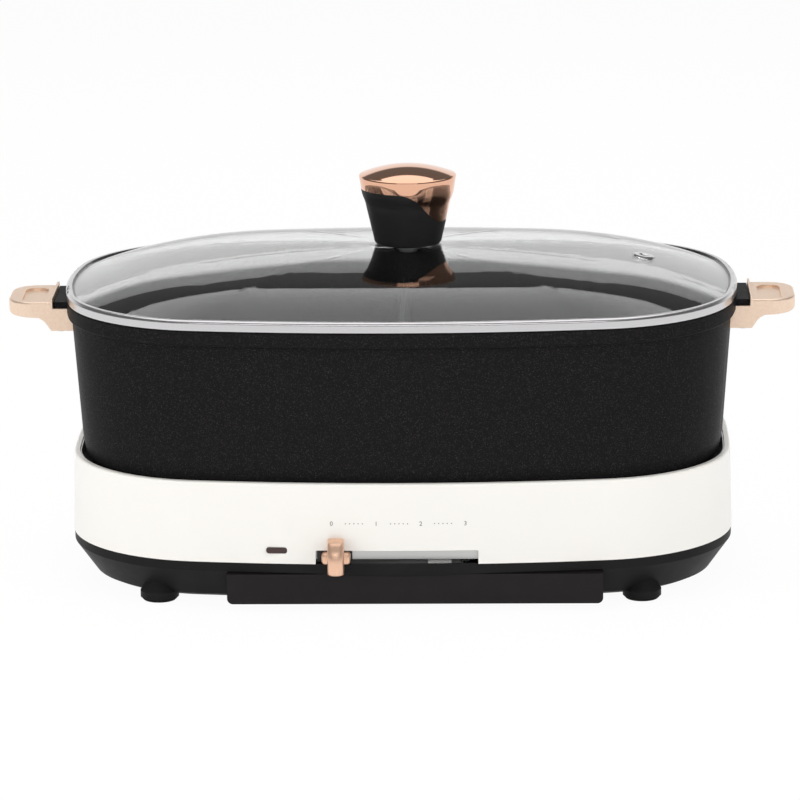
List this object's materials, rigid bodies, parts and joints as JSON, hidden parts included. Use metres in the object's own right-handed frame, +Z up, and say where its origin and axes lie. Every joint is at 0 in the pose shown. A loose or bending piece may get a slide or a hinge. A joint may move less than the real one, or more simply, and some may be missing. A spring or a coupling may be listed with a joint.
{
  "type": "electric hot pot with lid",
  "caption": "Oblong electric hot pot: a divided cast pot in a heated base with a slide control, side handles and a lift-off domed glass lid.",
  "frame": {"origin": "on the table plane, at the middle of the base between the feet", "axes": "+X along the pot to the right, +Y from the slide control to the mains inlet, +Z up"},
  "size_m": [0.48, 0.2828, 0.2466],
  "materials": {
    "white_plastic": "gloss",
    "black_plastic": "satin",
    "dark_cover": "satin",
    "foot_rubber": "matte",
    "screw_steel": "satin",
    "pan_metal": "satin",
    "element_sheath": "satin",
    "bracket_steel": "satin",
    "white_ceramic": "matte",
    "fuse_case": "satin",
    "lens_plastic": "gloss",
    "holder_plastic": "satin",
    "socket_plastic": "satin",
    "pin_brass": "polished",
    "rose_metal": "satin metallic",
    "carriage_plastic": "satin",
    "shoe_plastic": "satin",
    "rail_steel": "satin",
    "thermostat_case": "satin",
    "spindle_steel": "satin",
    "pinion_plastic": "satin",
    "pot_coating": "non-stick coating",
    "lid_steel": "polished",
    "lid_glass": "clear",
    "copper_mirror": "mirror",
    "knob_plastic": "satin",
    "seal_silicone": "matte",
    "washer_steel": "satin"
  },
  "bodies": {
    "base": {"upper_shell": "white_plastic", "lower_housing": "black_plastic", "foot_front_left": "foot_rubber", "foot_back_left": "foot_rubber", "foot_front_right": "foot_rubber", "foot_back_right": "foot_rubber", "control_cover": "dark_cover", "cover_screws": "screw_steel", "reflector_pan": "pan_metal", "case_screws": "screw_steel", "pan_screws": "screw_steel", "heating_element": "element_sheath", "element_brackets": "bracket_steel", "terminal_bushings": "white_ceramic", "thermal_fuse": "fuse_case", "terminal_block": "white_ceramic", "indicator_lens": "lens_plastic", "lamp_holder": "holder_plastic", "inlet_body": "socket_plastic", "inlet_pins": "pin_brass", "inlet_screws": "screw_steel", "slide_rail": "rail_steel", "rail_screws": "screw_steel", "thermostat": "thermostat_case"},
    "slider": {"slider_lever": "rose_metal", "slider_carriage": "carriage_plastic", "slider_rack": "carriage_plastic", "slider_shoe": "shoe_plastic"},
    "spindle": {"thermostat_spindle": "spindle_steel", "drive_pinion": "pinion_plastic"},
    "pot": {"pot_vessel": "pot_coating", "handle_left": "rose_metal", "handle_right": "rose_metal", "handle_screws": "screw_steel"},
    "lid": {"lid_rim": "lid_steel", "lid_glass": "lid_glass", "vent_grommet": "lid_steel", "knob_cap": "copper_mirror", "knob_grip": "knob_plastic", "knob_seat": "seal_silicone", "knob_washer": "washer_steel", "knob_screw": "screw_steel"}
  },
  "joints": [
    {"name": "heat_slide", "type": "slide", "parent": "base", "child": "slider", "axis": [1, 0, 0], "range_m": [0, 0.074]},
    {"name": "thermostat_turn", "type": "hinge", "parent": "base", "child": "spindle", "pos_m": [0.03, -0.09575, 0.0275], "axis": [0, 0, 1], "range_deg": [0, 269.2]},
    {"name": "pot_lift", "type": "slide", "parent": "base", "child": "pot", "axis": [0, 0, 1], "range_m": [0, 0.12]},
    {"name": "lid_lift", "type": "slide", "parent": "pot", "child": "lid", "axis": [0, 0, 1], "range_m": [0, 0.1]}
  ],
  "couplings": [
    {"joint": "thermostat_turn", "follows": "heat_slide", "rad_per_m": 63.492}
  ]
}
